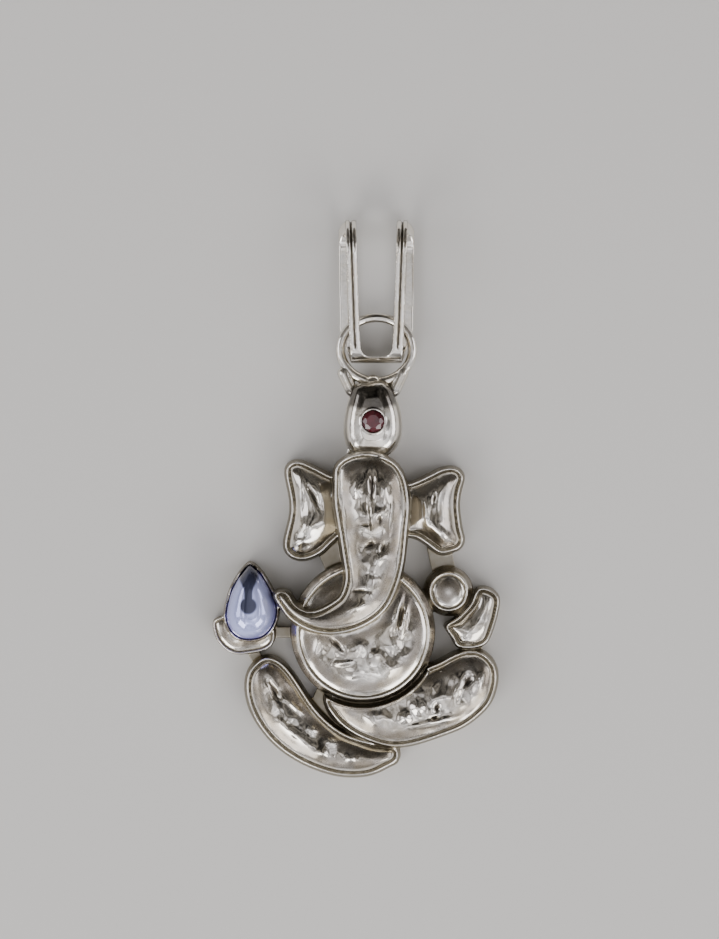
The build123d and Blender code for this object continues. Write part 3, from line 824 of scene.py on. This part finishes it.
class PENDANT_OT_cast_figure(bpy.types.Operator):
    """Give the figure its rounded cast skin, its hammered fields and its silver"""

    bl_idname = "pendant.cast_figure"
    bl_label = "Cast the figure"

    def execute(self, context):
        look = context.scene.figure_look
        piece = copy_of("figure", "figure_silver")
        spots = groove_spots(piece)
        tree = KDTree(len(spots))
        for index, spot in enumerate(spots):
            tree.insert((spot.x, spot.y, 0), index)
        tree.balance()
        reskin(piece, look.grid)

        away = self.away_from_rim(piece, tree)
        soften(piece, 400, weigh(piece, "core", step(away, *SMOOTHED)))
        soften(piece, 4)
        self.part_leg(piece, look)
        self.swell(piece, away)
        self.hammer(piece, step(away, *HAMMERED) * (away > 0))
        self.dent(piece, away, look)
        thin(piece, look.triangles)
        self.darken(piece, tree, look)
        resize(piece, MM)
        even(piece)
        # The figure's silver carries the crown's painted dark reflections
        piece.data.materials.append(silver_finish("figure_silver", look, spots=CROWN_PAINTED_REFLECTIONS))
        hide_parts("figure")
        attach(piece, "root")
        return {"FINISHED"}

    def away_from_rim(self, piece, tree):
        """How far each point of a raised field lies from the foot of its rim, and 0 off the fields."""
        places, normals = points_of(piece)
        on_field = (places[:, 2] > FIELD_FOOT) & (normals[:, 2] > 0.5) & (places[:, 1] < CROWN_FOOT)
        chosen = np.nonzero(on_field)[0]
        away = np.zeros(len(places))
        away[chosen] = [tree.find((x, y, 0))[2] for x, y in places[chosen, :2].tolist()]
        return away

    def part_leg(self, piece, look):
        """A sunk gap, with the leg's own thin rim beyond it, between the belly and the right leg."""
        places, normals = points_of(piece)
        reach = np.hypot(places[:, 0], places[:, 1])
        turn = np.degrees(np.arctan2(places[:, 1], places[:, 0]))
        on_leg = (places[:, 2] > LEG_LOW) & (places[:, 2] < LEG_HIGH) & (normals[:, 2] > 0.1)
        on_leg = on_leg * step(turn, *LEG_START) * (1 - step(turn, *LEG_END))
        near_side, far_side = look.gap_start / MM, look.gap_end / MM
        near_slope, far_slope = 0.3, (-0.12, 0.06)
        gap = step(reach, near_side, near_side + near_slope)
        gap *= 1 - step(reach, far_side + far_slope[0], far_side + far_slope[1])
        gap_floor, gap_depth = 1.25, 2.0
        deep = np.clip((places[:, 2] - gap_floor) / gap_depth, 0, 1)
        lift_by(piece, "gap", gap * on_leg * deep, -gap_depth)
        rim_height, rim_offset, rim_width = 0.12, 0.14, 0.07
        rim = np.exp(-((reach - far_side - rim_offset) / rim_width) ** 2)
        lift_by(piece, "leg_rim", rim * on_leg, rim_height)

    def swell(self, piece, away):
        """The ears and the hand filled out."""
        places = points_of(piece)[0]
        rise = np.zeros(len(away))
        for patch in PATCHES:
            rise += patch.swell * step(away, *SWOLLEN) * within(patch, places)
        lift_by(piece, "swell", rise / rise.max(), rise.max(), FINE)

    def hammer(self, piece, room):
        """The listed lumps and creases, only where there is room for them."""
        lift = marked(points_of(piece)[0]) * room
        for name, sign in (("lumps", 1), ("creases", -1)):
            depth = np.clip(lift * sign, 0, None)
            lift_by(piece, name, depth / depth.max(), sign * depth.max(), FINE)

    def dent(self, piece, away, look):
        """The waves, dents, hammer marks and nicks that chance leaves between them."""
        places, normals = points_of(piece)
        beside_rim = 0.3
        strength = step(away, *HAMMERED) * (beside_rim + (1 - beside_rim) * step(away, *DEEPLY_HAMMERED))
        strength *= step(normals[:, 2], 0.4, 0.7)
        for patch in PATCHES:
            strength *= 1 - within(patch, places) * (1 - patch.strength)
        group = weigh(piece, "field", strength)
        for name, kind, depth, size in (
            ("waves", "CLOUDS", look.waves, look.wave_size),
            ("dents", "CLOUDS", look.dents, look.dent_size),
            ("cells", "VORONOI", look.cells, look.cell_size),
            ("nicks", "CLOUDS", look.nicks, look.nick_size),
        ):
            apply(piece, "DISPLACE", texture=relief_texture(name, kind, size / MM), texture_coords="LOCAL",
                  strength=depth / MM, mid_level=0.5, vertex_group=group)

    def darken(self, piece, tree, look):
        """Tarnish in the grooves with painted shade on the walls and around the forms, near black painted
        shade in the creases, and satin on the fields but for their lumps, which are left bright as wear
        polish and as painted highlights.
        """
        places, normals = points_of(piece)
        below_crown = 1 - step(places[:, 1], CROWN_FOOT - CROWN_FADE, CROWN_FOOT)
        near = np.array([tree.find((x, y, 0))[2] for x, y in places[:, :2].tolist()])
        low = places[:, 2] < FIELD_FOOT
        shaded_margin = (1 - step(near, *MARGIN)) * (places[:, 2] > MARGIN_FOOT) * low
        shaded_margin = np.maximum(shaded_margin, look.plate * low * (normals[:, 2] > 0.5))
        # A face whose normal rises less than this is a wall, which gets painted shade. The crown's walls get
        # half as much painted shade as others.
        lean = 0.25 + 0.1 * below_crown
        walls = (1 - step(normals[:, 2], lean, lean + 0.3)) * (0.5 + 0.5 * below_crown)
        store(piece, "tarnish_and_shade_mask", np.maximum(recesses(piece, 3, walls), shaded_margin * below_crown))

        raised = (places[:, 2] > FIELD_FOOT) & (normals[:, 2] > 0.3)
        inside = step(near, *CREASED) * raised
        lift = marked(places)
        # Near black painted shade in the creases, darkest where they sink deepest
        darkest_shade = 0.92
        store(piece, "crease_shade", darkest_shade * step(-lift, 0.07, 0.2) * inside)
        # Satin fades towards the middle of a field, and all but goes from the tops of its lumps, which are
        # left bright as wear polish and as painted highlights
        satin = (1 - 0.5 * step(near, *POLISHED)) * (1 - 0.95 * step(lift, 0.04, 0.13))
        for patch in PATCHES:
            satin *= 1 - patch.polish * within(patch, places)
        store(piece, "field", satin * inside * below_crown)


class PENDANT_OT_shape_bail(bpy.types.Operator):
    """Round the strip of the bail, sink a groove along its legs and polish it"""

    bl_idname = "pendant.shape_bail"
    bl_label = "Shape the bail"

    def execute(self, context):
        look = context.scene.bail_look
        low, high = (Vector(corner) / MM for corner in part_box("bail"))
        piece = copy_of("bail", "bail_strip")
        reskin(piece, look.grid)
        soften(piece, 25)

        places, normals = points_of(piece)
        group = weigh(piece, "groove", self.groove(places, normals, low, high, look))
        apply(piece, "DISPLACE", strength=-look.groove / MM, mid_level=0.0, vertex_group=group)
        thin(piece, look.triangles)
        places, normals = points_of(piece)
        # Painted shade on the bail's steep sides, and duller silver on its scuffed stretch
        wall_shade, scuff_dullness = 0.8, 0.42
        walls = wall_shade * (1 - step(np.abs(normals[:, 2]), 0.1, 0.4))
        scuffed = step(places[:, 1], *SCUFF_START) * (1 - step(places[:, 1], *SCUFF_END))
        scuffed *= places[:, 0] > SCUFF_SIDE
        store(piece, "tarnish_and_shade_mask", np.maximum(recesses(piece, 2, walls), scuff_dullness * scuffed))
        groove = self.groove(places, normals, low, high, look)
        # Near black painted shade along the groove of each leg and at the corners of the foot
        shaded_foot_corners = (1 - step(places[:, 1] - low.y, 0.5, 1.0)) * (normals[:, 2] > 0.2)
        shaded_foot_corners *= step(np.abs(places[:, 0] - (low.x + high.x) / 2), 0.9, 1.4)
        groove_shade, corner_shade = 0.9, 0.6
        store(piece, "crease_shade", np.maximum(groove_shade * groove, corner_shade * shaded_foot_corners))
        resize(piece, MM)
        even(piece)
        piece.data.materials.append(silver_finish("bail_silver", context.scene.figure_look, 0.12))
        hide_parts("bail")
        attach(piece, "root")
        return {"FINISHED"}

    def groove(self, places, normals, low, high, look):
        """Where the groove runs, along the middle of each leg's outer face, from 0 to 1."""
        rise = places[:, 1] - low.y
        length = high.y - low.y
        strip = look.strip / MM
        bends = (0, look.knee / MM, length)
        back = np.interp(rise, bends, (look.foot / MM, look.back_knee / MM, high.x - low.x))
        front = np.interp(rise, bends, (look.foot / MM, look.front_knee / MM, look.front_arch / MM))
        forward = np.clip((places[:, 2] - strip) / (look.front_depth / MM - strip), 0, 1)
        outer = (back + (front - back) * forward) / 2
        beside = np.abs(np.abs(places[:, 0] - (low.x + high.x) / 2) - outer + look.leg / MM / 2)
        foot_radius = 1.3
        arch_radius = (high.z - low.z) / 2
        middle_y = np.clip(rise, foot_radius, length - arch_radius)
        middle_z = foot_radius + (arch_radius - foot_radius) * (middle_y - foot_radius) / (
            length - foot_radius - arch_radius
        )
        outwards = (rise - middle_y) * normals[:, 1] + (places[:, 2] - middle_z) * normals[:, 2]
        half = look.groove_width / MM / 2
        above_foot = step(rise, 1.0, 1.5)
        sunk = (1 - step(beside, half * 0.5, half * 1.1)) * (outwards > 0.2) * above_foot
        return sunk * (np.abs(normals[:, 0]) < 0.6)


class PENDANT_OT_glaze_sweet(bpy.types.Operator):
    """Glaze the sweet in the cup"""

    bl_idname = "pendant.glaze_sweet"
    bl_label = "Glaze the sweet"

    def execute(self, context):
        look = context.scene.sweet_look
        low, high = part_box("modak")
        piece = copy_of("modak", "sweet")
        reskin(piece, look.grid)
        height = (points_of(piece)[0][:, 2] * MM - low[2]) / (high[2] - low[2])
        soften(piece, 200, weigh(piece, "top", step(height, 0.3, 0.7)))
        soften(piece, 4)
        thin(piece, look.triangles)
        resize(piece, MM)
        even(piece)
        piece.data.materials.append(glaze_finish(look, low[2], high[2]))
        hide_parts("modak")
        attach(piece, "root")
        return {"FINISHED"}


class PENDANT_OT_set_stone(bpy.types.Operator):
    """Give the crown's stone its red"""

    bl_idname = "pendant.set_stone"
    bl_label = "Set the stone"

    def execute(self, context):
        node = frame["nodes"]["crown_stone"]
        node.data.materials.clear()
        node.data.materials.append(stone_finish(context.scene.stone_look))
        return {"FINISHED"}


class PENDANT_OT_set_stage(bpy.types.Operator):
    """Lay the pale floor, hang the soft boxes and place the camera"""

    bl_idname = "pendant.set_stage"
    bl_label = "Set the stage"

    def execute(self, context):
        look = context.scene.stage_look
        deselect()
        bpy.ops.mesh.primitive_plane_add(size=3.0, location=(0, 0, -look.floor_gap))
        floor = bpy.context.object
        floor.name = "floor"
        floor.data.materials.append(floor_finish(look))
        middle = Vector((0, 0.01, 0))
        for box in SOFTBOXES:
            aim = middle - Vector(box.place)
            turn = aim.to_track_quat("-Z", "Y").to_euler()
            bpy.ops.object.light_add(type="AREA", location=box.place, rotation=turn)
            light = bpy.context.object
            light.name = "softbox_" + box.name
            light.data.shape = "RECTANGLE"
            light.data.size, light.data.size_y = box.sides
            light.data.energy = box.watts * look.power
            light.data.color = box.tint
        self.light_room(context)
        x, y = look.view_middle
        bpy.ops.object.camera_add(location=(x, y, look.camera_height), rotation=(0, 0, 0))
        camera = bpy.context.object
        sensor, pendant_height = 36, 0.002
        camera.data.sensor_width = sensor
        camera.data.lens = sensor * (look.camera_height - pendant_height) / look.view_height
        camera.data.clip_start = 0.01
        context.scene.camera = camera
        return {"FINISHED"}

    def light_room(self, context):
        """A pale cloudy room, darker beyond the bail's end, with bright and dark places on its dome."""
        room = Finish(bpy.data.worlds.new("room"))
        context.scene.world = room.owner
        x, y, z = room.parts(room.out(room.node("ShaderNodeTexCoord"), "Generated"))
        across, up = x / (z + 1), y / (z + 1)

        def spot(glow):
            far = ((across - glow.x) / glow.reach_x) ** 2 + ((up - glow.y) / glow.reach_y) ** 2
            return room.ramp(far, (1 - glow.soft) ** 2, (1 + glow.soft) ** 2, glow.light, 0.0)

        aim = room.out(room.node("ShaderNodeCombineXYZ", {}, {"X": across, "Y": up}))
        clutter = room.out(room.node("ShaderNodeTexNoise", {}, {"Vector": aim, "Scale": 9.0, "Detail": 2.0}))
        # Brighter beyond the legs' end than beyond the bail's end
        lower_end, upper_end = 0.54, 0.27
        light = room.ramp(up, -0.08, 0.20, lower_end, upper_end)
        light = light * (0.4 + 1.2 * room.ramp(clutter, 0.42, 0.58))
        for glow in GLOWS:
            light = light + spot(glow)
        for shade in SHADES:
            light = light * (1 - spot(shade))
        warm_dim, cool_bright = (1.0, 0.94, 0.86), (0.98, 0.97, 1.0)
        colour = room.blend(room.ramp(light, 0.2, 0.8), warm_dim, cool_bright)
        shader = room.node("ShaderNodeBackground", {}, {"Color": colour, "Strength": light})
        room.node("ShaderNodeOutputWorld", {}, {"Surface": room.out(shader)})


class PENDANT_PT_panel(bpy.types.Panel):
    """The pendant's pieces"""

    bl_label = "Pendant"
    bl_idname = "PENDANT_PT_panel"
    bl_space_type = "VIEW_3D"
    bl_region_type = "UI"
    bl_category = "Pendant"

    def draw(self, context):
        for operator, group in STEPS:
            box = self.layout.box()
            look = getattr(context.scene, group)
            for name in look.__annotations__:
                box.prop(look, name)
            box.operator(operator)


LOOKS = {
    "figure_look": FigureLook,
    "bail_look": BailLook,
    "sweet_look": SweetLook,
    "stone_look": StoneLook,
    "stage_look": StageLook,
}
STEPS = [
    ("pendant.cast_figure", "figure_look"),
    ("pendant.shape_bail", "bail_look"),
    ("pendant.glaze_sweet", "sweet_look"),
    ("pendant.set_stone", "stone_look"),
    ("pendant.set_stage", "stage_look"),
]
OPERATORS = (
    PENDANT_OT_cast_figure,
    PENDANT_OT_shape_bail,
    PENDANT_OT_glaze_sweet,
    PENDANT_OT_set_stone,
    PENDANT_OT_set_stage,
)


def register():
    for group in LOOKS.values():
        bpy.utils.register_class(group)
    for operator in OPERATORS:
        bpy.utils.register_class(operator)
    bpy.utils.register_class(PENDANT_PT_panel)
    for name, group in LOOKS.items():
        setattr(bpy.types.Scene, name, PointerProperty(type=group))


def unregister():
    for name in LOOKS:
        delattr(bpy.types.Scene, name)
    bpy.utils.unregister_class(PENDANT_PT_panel)
    for operator in reversed(OPERATORS):
        bpy.utils.unregister_class(operator)
    for group in reversed(list(LOOKS.values())):
        bpy.utils.unregister_class(group)


def main():
    register()
    bpy.ops.pendant.cast_figure()
    bpy.ops.pendant.shape_bail()
    bpy.ops.pendant.glaze_sweet()
    bpy.ops.pendant.set_stone()
    bpy.ops.pendant.set_stage()


if __name__ == "__main__":
    main()
